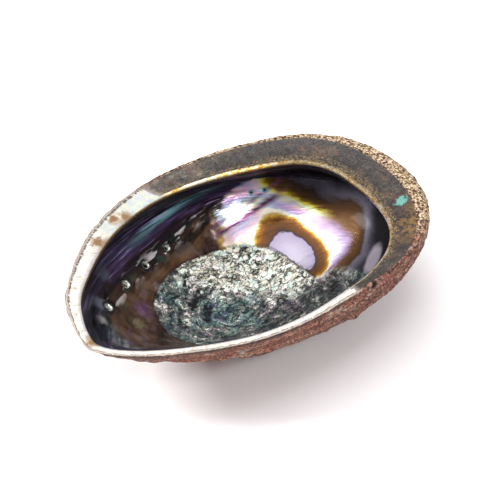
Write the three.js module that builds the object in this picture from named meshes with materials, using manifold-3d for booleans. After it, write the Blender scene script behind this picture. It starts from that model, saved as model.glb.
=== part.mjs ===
// A red abalone shell lying on its back with its opening up. The pore notch at the front end points
// towards -X, the spire end towards +X, the broad flat inner lip runs along +Y and the thin outer
// lip along -Y. The shell grew as one piece, so it is one solid.
import * as THREE from 'three';
import { LoftGeometry } from 'three/addons/geometries/LoftGeometry.js';
import { mergeVertices } from 'three/addons/utils/BufferGeometryUtils.js';
import Module from 'manifold-3d';

// Driving dimensions, in millimetres and degrees. Bearings are measured about DEEPEST, from +X.
const RIM = [ // the rim seen from above, from the notch along the outer lip and back by the inner lip
  [-76, 0], [-74, -6], [-66.5, -16], [-52, -29], [-34, -41], [-15, -48], [4, -51], [22, -53],
  [40, -51], [55, -43], [67, -28], [73, -9], [73, 10], [65, 26], [47, 39], [22, 48.5],
  [-7, 52], [-33, 46.5], [-53, 35], [-65, 24.5], [-72, 12.5], [-75, 5],
];
const RIM_HEIGHT = 42; // the rim's top above the surface the shell lies on, at x = 0
const RIM_RISE = 3.5 / 75; // the rim climbs towards the spire end
const DEEPEST = new THREE.Vector2(19, -4); // the lowest point of the back
const FOOT_DEPTH = 0.5; // worn off flat where the back has rubbed
const BELLY = { front: 82, back: 57, side: 54 }; // reach of the round that the back starts from

const WALL_TURN = 54.6; // how far the wall has turned up from level when it reaches the rim
const SPIRE_TURN = { more: 44.3, bearing: -12, half: 157 };
const INNER_TURN = { more: 22, bearing: 88, half: 60 };
const ROLL = { least: 0.6, more: 7.3, bearing: -11, half: 68, rise: 0.4 }; // the rim's outer shoulder

const LIP_WIDTH = 3.4; // the cut edge of the outer lip
const SHELF_WIDTH = 15.2; // the inner lip at its widest
const SHELF = { bearing: -1, ahead: 235, behind: 118, fade: 25 };
const SHELF_SLOPE = 0.2;
const EDGE_DROP = 0.6;
const SHELF_DISH = 0.8;
const OVERHANG = 0.3; // the share of the wall that the inner lip hides
const LIP_ROUNDING = 0.06;
const UNDERCUT_PULL = 0.45; // how full the curve under the inner lip is

const WALL = 4.5; // thickness near the rim
const FLOOR = 5; // thickness at the deepest point

const SPIRE = { x: 52, y: -24, height: 2.5, spread: 11 };
const NOTCH = new THREE.Vector2(-75.5, 0.5);
const NOTCH_BEARING = 178;
const TWIST = 1.31; // turn of the growing edge about the spire, in radians for each e-fold of size
const PORES = { first: 0.15, step: 0.1, count: 4, radius: 2.2 }; // as logarithms of size
const NOTCH_RADIUS = 1.6;

const COLUMNS = 96;
const OUTER_RINGS = 13;
const ROLL_STEPS = 3;
const SHELF_STEPS = [0.12, 0.4, 0.7, 1];
const UNDER_RINGS = 6;
const INNER_RINGS = 9;

const { sin, cos, acos, atan2, abs, exp, hypot, PI } = Math;

function lobe(bearing, centre, half) {
  const away = abs(((bearing - centre + 900) % 360) - 180) / half;
  return away < 1 ? 0.5 + 0.5 * cos(PI * away) : 0;
}

function ease(x, from, to) {
  return THREE.MathUtils.smoothstep(x, from, to);
}

// How much of a shelf the lip is at a bearing, from 0 on the outer lip to 1 at its widest.
function shelfShare(bearing) {
  const start = NOTCH_BEARING - 360;
  const turned = THREE.MathUtils.euclideanModulo(bearing - start, 360) + start - SHELF.bearing;
  const reach = turned > 0 ? turned / SHELF.ahead : -turned / SHELF.behind;
  const share = 0.5 + 0.5 * cos(PI * Math.min(reach, 1));
  return share * ease(NOTCH_BEARING - SHELF.bearing - turned, 0, SHELF.fade);
}

// The section of the shell from DEEPEST out to a rim point: [radius, height] pairs that run up the
// outside, over the lip, across its shelf, and down the inside.
function profile(rim) {
  const dx = rim.x - DEEPEST.x;
  const dy = rim.y - DEEPEST.y;
  const radius = hypot(dx, dy);
  const bearing = THREE.MathUtils.radToDeg(atan2(dy, dx));
  const turn = THREE.MathUtils.degToRad(WALL_TURN
    + SPIRE_TURN.more * lobe(bearing, SPIRE_TURN.bearing, SPIRE_TURN.half)
    + INNER_TURN.more * lobe(bearing, INNER_TURN.bearing, INNER_TURN.half));
  const roll = ROLL.least + ROLL.more * lobe(bearing, ROLL.bearing, ROLL.half);
  const rollRise = ROLL.rise * roll;
  const share = shelfShare(bearing);
  const width = LIP_WIDTH + (SHELF_WIDTH - LIP_WIDTH) * share;
  const drop = EDGE_DROP + SHELF_SLOPE * (width - LIP_WIDTH);
  const points = [];

  // The wall is part of an ellipse that is level at DEEPEST and has turned by `turn` at the lip.
  // Low down its plan is the round of the belly, and it takes the rim's outline on the way up.
  const reach = THREE.MathUtils.lerp(BELLY.back, BELLY.front, 0.5 - 0.5 * (dx / radius));
  const round = 1 / hypot(dx / radius / reach, dy / radius / BELLY.side);
  const tall = (rim.z - rollRise + FOOT_DEPTH) / (1 - cos(turn));
  const wall = (v) => {
    const angle = turn * v;
    const across = THREE.MathUtils.lerp(round, radius + roll, ease(v, 0, 1)) / sin(turn);
    const normal = new THREE.Vector2(sin(angle) / across, -cos(angle) / tall).normalize();
    return { r: across * sin(angle), z: tall * (1 - cos(angle)) - FOOT_DEPTH, normal };
  };
  const footShare = acos(1 - FOOT_DEPTH / tall) / turn;
  for (let j = 0; j <= OUTER_RINGS; j += 1) {
    const v = THREE.MathUtils.lerp(footShare, 1, j / OUTER_RINGS);
    const { r, z, normal } = wall(v);
    const x = DEEPEST.x + (dx / radius) * r;
    const y = DEEPEST.y + (dy / radius) * r;
    const away = hypot(x - SPIRE.x, y - SPIRE.y) / SPIRE.spread;
    const swell = SPIRE.height * exp(-away * away)
      * (1 - ease(v, 0.86, 1)) * ease(v, footShare, footShare + 0.1);
    points.push([r + normal.x * swell, z + normal.y * swell]);
  }
  for (let j = 1; j <= ROLL_STEPS; j += 1) {
    const angle = (PI / 2) * (j / ROLL_STEPS);
    points.push([radius + roll * cos(angle), rim.z - rollRise * (1 - sin(angle))]);
  }

  for (const t of SHELF_STEPS) {
    points.push([radius - width * t, rim.z - drop * t - SHELF_DISH * share * sin(PI * t)]);
  }

  const inside = (v) => {
    const { r, z, normal } = wall(v);
    const thickness = THREE.MathUtils.lerp(FLOOR, WALL, v)
      + ease(v, 0.6, 1) * (1 - share) * (LIP_WIDTH - WALL) + roll * ease(v, 0.5, 1);
    return new THREE.Vector2(r - normal.x * thickness, z - normal.y * thickness);
  };
  const top = 1 - OVERHANG * share - LIP_ROUNDING * (1 - share);
  const edge = new THREE.Vector2(radius - width, rim.z - drop);
  const meet = inside(top);
  const pull = UNDERCUT_PULL * edge.distanceTo(meet);
  const downWall = inside(top - 0.01).sub(meet).normalize();
  const under = new THREE.CubicBezierCurve(
    edge,
    new THREE.Vector2(edge.x, edge.y - pull),
    meet.clone().addScaledVector(downWall, -pull),
    meet,
  );
  for (const point of under.getPoints(UNDER_RINGS).slice(1)) {
    points.push([point.x, point.y]);
  }
  for (let j = 1; j <= INNER_RINGS; j += 1) {
    const { x, y } = inside(top * (1 - j / INNER_RINGS));
    points.push([x, y]);
  }
  return points.map(([r, z]) => new THREE.Vector3(
    DEEPEST.x + (dx / radius) * r,
    DEEPEST.y + (dy / radius) * r,
    z,
  ));
}

function makeShell() {
  const corners = RIM.map(([x, y]) => new THREE.Vector3(x, y, RIM_HEIGHT + RIM_RISE * x));
  const rim = new THREE.CatmullRomCurve3(corners, true, 'centripetal');
  const columns = [];
  for (let i = 0; i < COLUMNS; i += 1) {
    columns.push(profile(rim.getPoint(i / COLUMNS)));
  }
  const rings = columns[0].map((_, ring) => columns.map((column) => column[ring]));
  return new LoftGeometry(rings, { closed: true, capStart: true });
}

// The pores lie on a spiral about the spire: each was the notch when the shell was smaller.
function porePlace(size) {
  const spire = new THREE.Vector2(SPIRE.x, SPIRE.y);
  return NOTCH.clone().sub(spire).rotateAround(new THREE.Vector2(), TWIST * size)
    .multiplyScalar(exp(size)).add(spire);
}

function makePore(shell, place, radius) {
  const down = new THREE.Vector3(0, 0, -1);
  const caster = new THREE.Raycaster(new THREE.Vector3(place.x, place.y, 2 * RIM_HEIGHT), down);
  const [hit] = caster.intersectObject(shell);
  const drill = new THREE.CylinderGeometry(radius, radius, 4 * WALL, 12);
  drill.applyQuaternion(new THREE.Quaternion().setFromUnitVectors(THREE.Object3D.DEFAULT_UP,
    hit.face.normal));
  drill.translate(hit.point.x, hit.point.y, hit.point.z);
  return drill;
}

const wasm = await Module();
wasm.setup();

// The last ring of the loft is one point, so its flat triangles are left out here.
function toManifold(geometry) {
  const bare = new THREE.BufferGeometry();
  bare.setAttribute('position', geometry.attributes.position);
  bare.setIndex(geometry.index);
  const merged = mergeVertices(bare);
  const corners = merged.index.array;
  const triangles = [];
  for (let i = 0; i < corners.length; i += 3) {
    const [a, b, c] = corners.slice(i, i + 3);
    if (a !== b && b !== c && c !== a) triangles.push(a, b, c);
  }
  return new wasm.Manifold(new wasm.Mesh({
    numProp: 3,
    vertProperties: new Float32Array(merged.attributes.position.array),
    triVerts: new Uint32Array(triangles),
  }));
}

function toGeometry(manifold) {
  const { vertProperties, triVerts } = manifold.getMesh();
  const geometry = new THREE.BufferGeometry();
  geometry.setAttribute('position', new THREE.BufferAttribute(vertProperties, 3));
  geometry.setIndex(new THREE.BufferAttribute(triVerts, 1));
  geometry.computeVertexNormals();
  return geometry;
}

const blank = makeShell();
const blankMesh = new THREE.Mesh(blank);
let solid = toManifold(blank);
for (let n = 0; n < PORES.count; n += 1) {
  const size = -(PORES.first + n * PORES.step);
  solid = solid.subtract(toManifold(makePore(blankMesh, porePlace(size), PORES.radius * exp(size))));
}
solid = solid.subtract(toManifold(makePore(blankMesh, NOTCH, NOTCH_RADIUS)));

// The origin is under the middle of the shell, on the surface it lies on.
const geometry = toGeometry(solid);
geometry.computeBoundingBox();
const middle = geometry.boundingBox.getCenter(new THREE.Vector3());
geometry.translate(-middle.x, -middle.y, -geometry.boundingBox.min.z);

const nacre = new THREE.MeshStandardMaterial({ color: 0x8d7768, roughness: 0.35, metalness: 0.1 });
const shell = new THREE.Mesh(geometry, nacre);
shell.name = 'abalone_shell';

const group = new THREE.Group();
group.add(shell);

export default group;
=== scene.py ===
import math

import bmesh
import bpy
import numpy as np
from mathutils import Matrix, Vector


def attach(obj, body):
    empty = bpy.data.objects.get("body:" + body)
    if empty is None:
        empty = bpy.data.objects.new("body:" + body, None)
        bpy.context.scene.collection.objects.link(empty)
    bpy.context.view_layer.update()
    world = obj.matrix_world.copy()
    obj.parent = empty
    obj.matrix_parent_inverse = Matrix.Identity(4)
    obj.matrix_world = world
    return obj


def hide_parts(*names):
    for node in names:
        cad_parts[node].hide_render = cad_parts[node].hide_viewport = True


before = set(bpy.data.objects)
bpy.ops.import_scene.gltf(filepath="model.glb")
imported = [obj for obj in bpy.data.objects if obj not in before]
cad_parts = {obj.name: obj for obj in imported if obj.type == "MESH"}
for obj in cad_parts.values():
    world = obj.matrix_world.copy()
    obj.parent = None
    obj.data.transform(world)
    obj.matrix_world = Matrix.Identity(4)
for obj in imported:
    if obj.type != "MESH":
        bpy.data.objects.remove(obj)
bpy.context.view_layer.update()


# ---------------------------------------------------------------------------------------------
# The shell's form. One piece of limy shell, grown at its edge: a deep oval bowl lying on its
# back, with a flat inner lip along +Y, a thin outer lip along -Y and the pore notch at -X.
# Each column of points is one section from the lowest point of the back out to the rim, over
# the lip, across its shelf and down the inside. Sizes are in millimetres until the mesh is made.
RIM = [  # the rim seen from above, from the notch along the outer lip and back by the inner lip
    (-76, 0), (-74, -6), (-66.5, -16), (-52, -29), (-34, -41), (-15, -48), (4, -51), (22, -53),
    (40, -51), (55, -43), (67, -28), (73, -9), (73, 10), (65, 26), (47, 39), (22, 48.5),
    (-7, 52), (-33, 46.5), (-53, 35), (-65, 24.5), (-72, 12.5), (-75, 5),
]
RIM_HEIGHT = 42.0
RIM_RISE = 3.5 / 75
DEEPEST = np.array((19.0, -4.0))
FOOT_DEPTH = 0.5
BELLY = dict(front=82.0, back=57.0, side=54.0)
WALL_TURN = 54.6
SPIRE_TURN = (44.3, -12, 157)
INNER_TURN = (22.0, 88, 60)
ROLL = dict(least=0.6, more=(7.3, -11, 68), rise=0.4)
LIP_WIDTH = 3.4
SHELF_WIDTH = 15.2
SHELF = dict(bearing=-1, ahead=235, behind=118, fade=25)
SHELF_SLOPE = 0.2
EDGE_DROP = 0.6
SHELF_DISH = 0.8
OVERHANG = 0.3
LIP_ROUNDING = 0.06
UNDERCUT_PULL = 0.45
WALL = 4.5
FLOOR = 5.0
SPIRE = np.array((52.0, -24.0))
SPIRE_SWELL = dict(height=2.5, spread=11.0)
NOTCH = np.array((-75.5, 0.5))
NOTCH_BEARING = 178
TWIST = 1.31  # turn of the growing edge about the spire, in radians for each e-fold of size

COLUMNS = 432
FOOT_RINGS = 6
OUTER_RINGS = 82
ROLL_RINGS = 8
SHELF_RINGS = 20
UNDER_RINGS = 20
INNER_RINGS = 84


def lobe(bearing, centre, half):
    away = np.abs((bearing - centre + 900) % 360 - 180) / half
    return np.where(away < 1, 0.5 + 0.5 * np.cos(np.pi * np.minimum(away, 1)), 0)


def ease(x, low, high):
    t = np.clip((x - low) / (high - low), 0, 1)
    return t * t * (3 - 2 * t)


def rim_points(steps_between):
    """The rim as a closed centripetal Catmull-Rom curve through RIM."""
    corner = np.array([(x, y, RIM_HEIGHT + RIM_RISE * x) for x, y in RIM])
    at = np.arange(len(RIM) * steps_between) / steps_between
    i = at.astype(int)
    w = (at - i)[:, None]
    p0, p1, p2, p3 = (corner[(i + k) % len(RIM)] for k in (-1, 0, 1, 2))
    d0, d1, d2 = (np.linalg.norm(b - a, axis=1)[:, None] ** 0.5
                  for a, b in ((p0, p1), (p1, p2), (p2, p3)))
    out = ((p1 - p0) / d0 - (p2 - p0) / (d0 + d1) + (p2 - p1) / d1) * d1
    back = ((p2 - p1) / d1 - (p3 - p1) / (d1 + d2) + (p3 - p2) / d2) * d1
    return (p1 + out * w + (3 * (p2 - p1) - 2 * out - back) * w**2
            + (2 * (p1 - p2) + out + back) * w**3)


def evenly(points, count):
    """count points evenly spaced along a closed line."""
    loop = np.vstack([points, points[:1]])
    run = np.r_[0, np.cumsum(np.linalg.norm(np.diff(loop, axis=0), axis=1))]
    at = np.arange(count) * run[-1] / count
    return np.column_stack([np.interp(at, run, loop[:, k]) for k in range(3)])


rim = evenly(rim_points(40), COLUMNS)
out = rim[:, :2] - DEEPEST
radius = np.hypot(out[:, 0], out[:, 1])
away = out / radius[:, None]
bearing = np.degrees(np.arctan2(out[:, 1], out[:, 0]))
turn = np.radians(WALL_TURN + SPIRE_TURN[0] * lobe(bearing, *SPIRE_TURN[1:])
                  + INNER_TURN[0] * lobe(bearing, *INNER_TURN[1:]))
roll = ROLL["least"] + ROLL["more"][0] * lobe(bearing, *ROLL["more"][1:])
start = NOTCH_BEARING - 360
turned = (bearing - start) % 360 + start - SHELF["bearing"]
reach = np.where(turned > 0, turned / SHELF["ahead"], -turned / SHELF["behind"])
share = 0.5 + 0.5 * np.cos(np.pi * np.minimum(reach, 1))
share *= ease(NOTCH_BEARING - SHELF["bearing"] - turned, 0, SHELF["fade"])
width = LIP_WIDTH + (SHELF_WIDTH - LIP_WIDTH) * share
drop = EDGE_DROP + SHELF_SLOPE * (width - LIP_WIDTH)
belly_reach = BELLY["back"] + (BELLY["front"] - BELLY["back"]) * (0.5 - 0.5 * away[:, 0])
belly = 1 / np.hypot(away[:, 0] / belly_reach, away[:, 1] / BELLY["side"])
tall = (rim[:, 2] - ROLL["rise"] * roll + FOOT_DEPTH) / (1 - np.cos(turn))
foot_share = np.arccos(1 - FOOT_DEPTH / tall) / turn
rings = []
zones = []
places = []


def add_ring(r, z, zone, place):
    """One ring of points: its radius and height, its zone, and how far up the wall it lies."""
    rings.append(np.column_stack([DEEPEST + away * np.broadcast_to(r, radius.shape)[:, None],
                                  np.broadcast_to(z, radius.shape)]))
    zones.append(zone)
    places.append(np.broadcast_to(place, radius.shape))


def outside(v):
    """Radius, height and outward direction of the back, from the deepest point (0) to the rim (1)."""
    angle = turn * v
    across = (belly + (radius + roll - belly) * ease(v, 0, 1)) / np.sin(turn)
    nr, nz = np.sin(angle) / across, -np.cos(angle) / tall
    size = np.hypot(nr, nz)
    return across * np.sin(angle), tall * (1 - np.cos(angle)) - FOOT_DEPTH, nr / size, nz / size


def inside(v):
    """Radius and height of the bowl under the same place of the back, one wall thickness in."""
    r, z, nr, nz = outside(v)
    thick = (FLOOR + (WALL - FLOOR) * v + ease(v, 0.6, 1) * (1 - share) * (LIP_WIDTH - WALL)
             + roll * ease(v, 0.5, 1))
    return r - nr * thick, z - nz * thick


for j in range(1, FOOT_RINGS):
    add_ring(outside(foot_share)[0] * j / FOOT_RINGS, 0, "back", foot_share * j / FOOT_RINGS)
for j in range(OUTER_RINGS + 1):
    v = foot_share + (1 - foot_share) * j / OUTER_RINGS
    r, z, nr, nz = outside(v)
    spot = DEEPEST + away * r[:, None] - SPIRE
    swell = (SPIRE_SWELL["height"] * np.exp(-(spot**2).sum(1) / SPIRE_SWELL["spread"] ** 2)
             * (1 - ease(v, 0.86, 1)) * ease(v, foot_share, foot_share + 0.1))
    add_ring(r + nr * swell, z + nz * swell, "back", v)
for j in range(1, ROLL_RINGS + 1):
    angle = math.pi / 2 * j / ROLL_RINGS
    add_ring(radius + roll * math.cos(angle),
             rim[:, 2] - ROLL["rise"] * roll * (1 - math.sin(angle)), "back", 1 + 0.1 * j / ROLL_RINGS)
for j in range(1, SHELF_RINGS + 1):
    t = j / SHELF_RINGS
    add_ring(radius - width * t, rim[:, 2] - drop * t - SHELF_DISH * share * math.sin(math.pi * t),
             "shelf", t)
top = 1 - OVERHANG * share - LIP_ROUNDING * (1 - share)
edge = np.array((radius - width, rim[:, 2] - drop))
meet = np.array(inside(top))
pull = UNDERCUT_PULL * np.hypot(*(edge - meet))
down_wall = np.array(inside(top - 0.01)) - meet
down_wall /= np.hypot(*down_wall)
below_edge = edge - np.array((0 * pull, pull))
above_meet = meet - down_wall * pull
for j in range(1, UNDER_RINGS + 1):
    t = j / UNDER_RINGS
    r, z = ((1 - t) ** 3 * edge + 3 * t * (1 - t) ** 2 * below_edge
            + 3 * t**2 * (1 - t) * above_meet + t**3 * meet)
    add_ring(r, z, "bowl", 1 + (top - 1) * t)
for j in range(1, INNER_RINGS):
    v = top * (1 - j / INNER_RINGS)
    r, z = inside(v)
    add_ring(r, z, "bowl", v)


point = np.stack(rings)
middle = (point.min((0, 1)) + point.max((0, 1))) / 2
zone = np.repeat([{"back": 0.0, "shelf": 1.0, "bowl": 2.0}[z] for z in zones], COLUMNS)
zone = zone.reshape(len(rings), COLUMNS)
place = np.stack(places)
is_back = zone[:, 0] == 0
is_bowl = zone[:, 0] == 2


# ---------------------------------------------------------------------------------------------
# The pores. A row of open holes runs back from the notch on a spiral about the spire: each was
# the notch when the shell was smaller. A block of the grid is taken out of the wall's two faces,
# its edge is drawn into a round, and the two rounds are joined by the pore's wall.
PORE_SIZES = [-0.15, -0.25, -0.35, -0.45]  # logarithms of the shell's size when each was open
PORE_RADIUS = 1.8
CLOSED_PORES = [-0.56, -0.68, -0.81, -0.95, -1.1, -1.26, -1.43]
PORE_STEPS = 4
DRAWN_IN = 3  # how far round a pore the grid is drawn in, in half widths of the pore


def spiral_place(size):
    """Where the notch was when the shell was e^size of its grown size."""
    turned = TWIST * size
    arm = NOTCH - SPIRE
    spun = np.array((arm[0] * math.cos(turned) - arm[1] * math.sin(turned),
                     arm[0] * math.sin(turned) + arm[1] * math.cos(turned)))
    return SPIRE + spun * math.exp(size)


def nearest(target, rows, column=None):
    """Grid place of the point nearest to target, which is a plan place or a point in space."""
    part = point[rows] if column is None else point[rows][:, column:column + 1]
    gap = np.linalg.norm(part[..., :len(target)] - target, axis=-1)
    row, col = np.unravel_index(np.argmin(gap), gap.shape)
    return np.flatnonzero(rows)[row], col if column is None else column


def round_off(row, col, half_r, half_c, size):
    """Draws the square of grid lines round (row, col) into a round of the given size."""
    centre = point[row, col].copy()
    along = point[row, (col + 1) % COLUMNS] - point[row, col - 1]
    down = point[row + 1, col] - point[row - 1, col]
    along /= np.linalg.norm(along)
    down -= along * (down @ along)
    down /= np.linalg.norm(down)
    for i in range(row - DRAWN_IN * half_r, row + DRAWN_IN * half_r + 1):
        for j in range(col - DRAWN_IN * half_c, col + DRAWN_IN * half_c + 1):
            u, v = (j - col) / half_c, (i - row) / half_r
            square = max(abs(u), abs(v))
            here = point[i, j % COLUMNS]
            if square == 0:
                continue
            a, b = (here - centre) @ along, (here - centre) @ down
            angle = math.atan2(v, u)
            keep = float(ease(square, 1, DRAWN_IN))
            a2 = size * square * math.cos(angle)
            b2 = size * square * math.sin(angle)
            point[i, j % COLUMNS] = here + (1 - keep) * ((a2 - a) * along + (b2 - b) * down)
    return centre


quads_gone = set()
pore_loops = []
pore_centres = []
for size in PORE_SIZES:
    hole = PORE_RADIUS * math.exp(size)
    row_in, col = nearest(spiral_place(size), is_bowl)
    here = point[row_in, col]
    across_grid = np.cross(point[row_in + 1, col] - point[row_in - 1, col],
                           point[row_in, (col + 1) % COLUMNS] - point[row_in, col - 1])
    normal = across_grid / np.linalg.norm(across_grid)
    normal *= -math.copysign(1, normal[2])
    row_out, _ = nearest(here + normal * WALL, is_back, col)
    step_c = np.linalg.norm(point[row_in, (col + 1) % COLUMNS] - here)
    step_r = np.linalg.norm(point[row_in + 1, col] - here)
    half_c = max(1, round(hole / step_c))
    half_r = max(1, round(hole / step_r))
    loops = []
    for row, flip in ((row_in, 1), (row_out, -1)):
        pore_centres.append(round_off(row, col, half_r, half_c, hole))
        for i in range(row - half_r, row + half_r):
            for j in range(col - half_c, col + half_c):
                quads_gone.add((i, j % COLUMNS))
        side = [(-1, k / half_c) for k in range(-half_c, half_c)]
        side += [(k / half_r, 1) for k in range(-half_r, half_r)]
        side += [(1, -k / half_c) for k in range(-half_c, half_c)]
        side += [(-k / half_r, -1) for k in range(-half_r, half_r)]
        loops.append([((row + round(flip * v * half_r)) * COLUMNS + (col + round(u * half_c)) % COLUMNS)
                      for v, u in side])
    pore_loops.append(loops)

verts = list(point.reshape(-1, 3))
zone_of = list(zone.reshape(-1))
grid_of = list(range(len(verts)))
faces = []
for i in range(len(rings) - 1):
    for j in range(COLUMNS):
        if (i, j) not in quads_gone:
            k = (j + 1) % COLUMNS
            faces.append((i * COLUMNS + j, i * COLUMNS + k, (i + 1) * COLUMNS + k, (i + 1) * COLUMNS + j))
for first, level in ((0, 0.0), ((len(rings) - 1) * COLUMNS, inside(0.0)[1][0])):
    verts.append(np.array((*DEEPEST, level)))
    zone_of.append(zone_of[first])
    grid_of.append(first)
    for j in range(COLUMNS):
        faces.append((first + j, first + (j + 1) % COLUMNS, len(verts) - 1))
for inner, outer in pore_loops:
    last = inner
    for step in range(1, PORE_STEPS + 1):
        t = step / PORE_STEPS
        if step < PORE_STEPS:
            ring = list(range(len(verts), len(verts) + len(inner)))
            verts += [np.array(verts[a]) * (1 - t) + np.array(verts[b]) * t for a, b in zip(inner, outer)]
            zone_of += [2.0 if t < 0.7 else 0.0] * len(inner)
            grid_of += list(inner if t < 0.7 else outer)
        else:
            ring = outer
        for k in range(len(inner)):
            n = (k + 1) % len(inner)
            faces.append((last[k], last[n], ring[n], ring[k]))
        last = ring
verts = np.array(verts)
zone_of = np.array(zone_of)
grid_of = np.array(grid_of)


# ---------------------------------------------------------------------------------------------
# The growth map. Every point of the wall belongs to one old growing edge: the rim, made smaller
# and turned about the spire. It gives each point an age (the logarithm of that size) and a sweep
# (where along the edge it was laid down), which the growth lines, ribs and bands follow.
def unrolled(col, v):
    return DEEPEST + away[col] * (radius[col] * v)[..., None]


spire_row, spire_col = nearest(SPIRE, is_back)
heart = unrolled(np.array([spire_col]), place[spire_row, spire_col:spire_col + 1])[0]
arm = rim[:, :2] - heart
arm_angle = np.arctan2(arm[:, 1], arm[:, 0])
WAVES = 4
HALVINGS = 30


def fourier(angle):
    """The waves whose sum is the logarithm of the rim's distance from the spire."""
    terms = [np.ones_like(angle)]
    for n in range(1, WAVES + 1):
        terms += [np.cos(n * angle), np.sin(n * angle)]
    return np.stack(terms, -1)


weights = np.linalg.lstsq(fourier(arm_angle), np.log(np.hypot(*arm.T)), rcond=None)[0]
flat = unrolled(grid_of % COLUMNS, place.reshape(-1)[grid_of]) - heart
log_reach = np.log(np.maximum(np.hypot(*flat.T), 0.6))
angle = np.arctan2(flat[:, 1], flat[:, 0])
low = np.full(len(verts), -6.0)
high = np.full(len(verts), 0.6)
for _ in range(HALVINGS):
    age = (low + high) / 2
    over = age + fourier(angle - TWIST * age) @ weights > log_reach
    high = np.where(over, age, high)
    low = np.where(over, low, age)
sweep = angle - TWIST * age

around = 2 * np.pi * (grid_of % COLUMNS) / COLUMNS
run = place.reshape(-1)[grid_of]
lip_share = share[grid_of % COLUMNS]

# The muscle scar: 0 in its middle and 1 at its edge, rounder at its left end than at its right.
SCAR = dict(centre=(-2.5, 1.5), long=36.5, wide=26.5, power=2.1, fuller=0.7, turn=15)
shifted = verts - np.array((middle[0], middle[1], 0))
scar_x = np.abs(shifted[:, 0] - SCAR["centre"][0]) / SCAR["long"]
scar_y = np.abs(shifted[:, 1] - SCAR["centre"][1]) / SCAR["wide"]
power = SCAR["power"] + SCAR["fuller"] * ease(shifted[:, 0], -SCAR["turn"], SCAR["turn"])
scar_ring = (scar_x ** power + scar_y ** power) ** (1 / power)

pore_gap = np.full(len(verts), 99.0)
for centre, size in zip(pore_centres, np.repeat(PORE_SIZES, 2)):
    gap = np.linalg.norm(verts - centre, axis=1) / (PORE_RADIUS * math.exp(size))
    pore_gap = np.minimum(pore_gap, gap)
knob = np.zeros(len(verts))
for size in CLOSED_PORES:
    place_row, place_col = nearest(spiral_place(size), is_back)
    gap = (np.linalg.norm(verts - point[place_row, place_col], axis=1)
           / (1.5 * PORE_RADIUS * math.exp(0.6 * size)))
    knob = np.maximum(knob, np.exp(-gap**2) * (zone_of == 0))

# The row: degrees from the line of the pores, along the old edge, taken at the third pore.
third_pore = int(np.argmin(np.linalg.norm(verts - pore_centres[4], axis=1)))
row_sweep = sweep[third_pore]
row = np.degrees((sweep - row_sweep + math.pi) % (2 * math.pi) - math.pi)
OLD_PORES = np.array([(38.2, 33.3, 25.2), (43.4, 30.4, 25.3)])  # filled with nacre on the dome
OLD_PORE_RADIUS = 1.05
old_gap = np.linalg.norm(shifted[:, None] - OLD_PORES, axis=2).min(1)
old_pore = np.exp(-(old_gap / OLD_PORE_RADIUS) ** 2) * (zone_of == 2)

# The pit bored in the crust of the outer lip, and the stretch of the rim whose lip is pale.
PIT = np.array((14.1, -52.6, 41.6))
pit_gap = np.linalg.norm(shifted - PIT, axis=1)
PALE_LIP = dict(first=112, last=258, fade=7)
lip_bearing = bearing[grid_of % COLUMNS] % 360
first, last, fade = PALE_LIP["first"], PALE_LIP["last"], PALE_LIP["fade"]
pale_lip = ease(lip_bearing, first - fade, first + fade) * (1 - ease(lip_bearing, last - fade, last + fade))

MM = 0.001
mesh = bpy.data.meshes.new("abalone")
mesh.from_pydata((shifted * MM).tolist(), [], faces)
fields = dict(zone=zone_of, run=run, age=age, scar_ring=scar_ring, pore_gap=pore_gap, knob=knob,
              row=row, lip_share=lip_share, old_pore=old_pore, pit_gap=pit_gap, pale_lip=pale_lip)
for name, values in fields.items():
    mesh.attributes.new(name, "FLOAT", "POINT").data.foreach_set("value", values.astype(np.float32))
vectors = dict(growth=(np.cos(sweep), np.sin(sweep), age), around=(np.cos(around), np.sin(around), run))
for name, parts in vectors.items():
    flat_values = np.column_stack(parts).astype(np.float32).ravel()
    mesh.attributes.new(name, "FLOAT_VECTOR", "POINT").data.foreach_set("vector", flat_values)
bm = bmesh.new()
bm.from_mesh(mesh)
bmesh.ops.recalc_face_normals(bm, faces=bm.faces)
bm.to_mesh(mesh)
bm.free()
mesh.shade_smooth()
shell = bpy.data.objects.new("abalone", mesh)
bpy.context.scene.collection.objects.link(shell)


# ---------------------------------------------------------------------------------------------
# The relief. The back is ribbed by growth and crusted over, with a collar round every pore and
# a knob where an old pore was closed. The inside is smooth nacre but for the muscle scar, whose
# surface is broken into flakes. Every height below is in millimetres, along the surface normal.
HEIGHTS = {
    "Growth line height": 0.5, "Spiral rib height": 0.55, "Crust height": 0.5, "Lump height": 1.1,
    "Pore collar height": 1.0, "Knob height": 1.5, "Crest raggedness": 0.5, "Pit depth": 1.6,
    "Scar flake height": 0.45, "Scar swell": 0.7, "Nacre ripple height": 0.4, "Pore lip height": 0.5,
    "Lip wave height": 0.5,
}
SEED = 4.0


class Field:
    """A value that varies over the shell: one node's output. Sums and products add Math nodes."""

    def __init__(self, recipe, socket):
        self.recipe = recipe
        self.socket = socket

    def __add__(self, other):
        return self.recipe.calc("ADD", self, other)

    def __sub__(self, other):
        return self.recipe.calc("SUBTRACT", self, other)

    def __rsub__(self, other):
        return self.recipe.calc("SUBTRACT", other, self)

    def __mul__(self, other):
        return self.recipe.calc("MULTIPLY", self, other)

    def __pow__(self, other):
        return self.recipe.calc("POWER", self, other)

    __radd__ = __add__
    __rmul__ = __mul__


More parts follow.
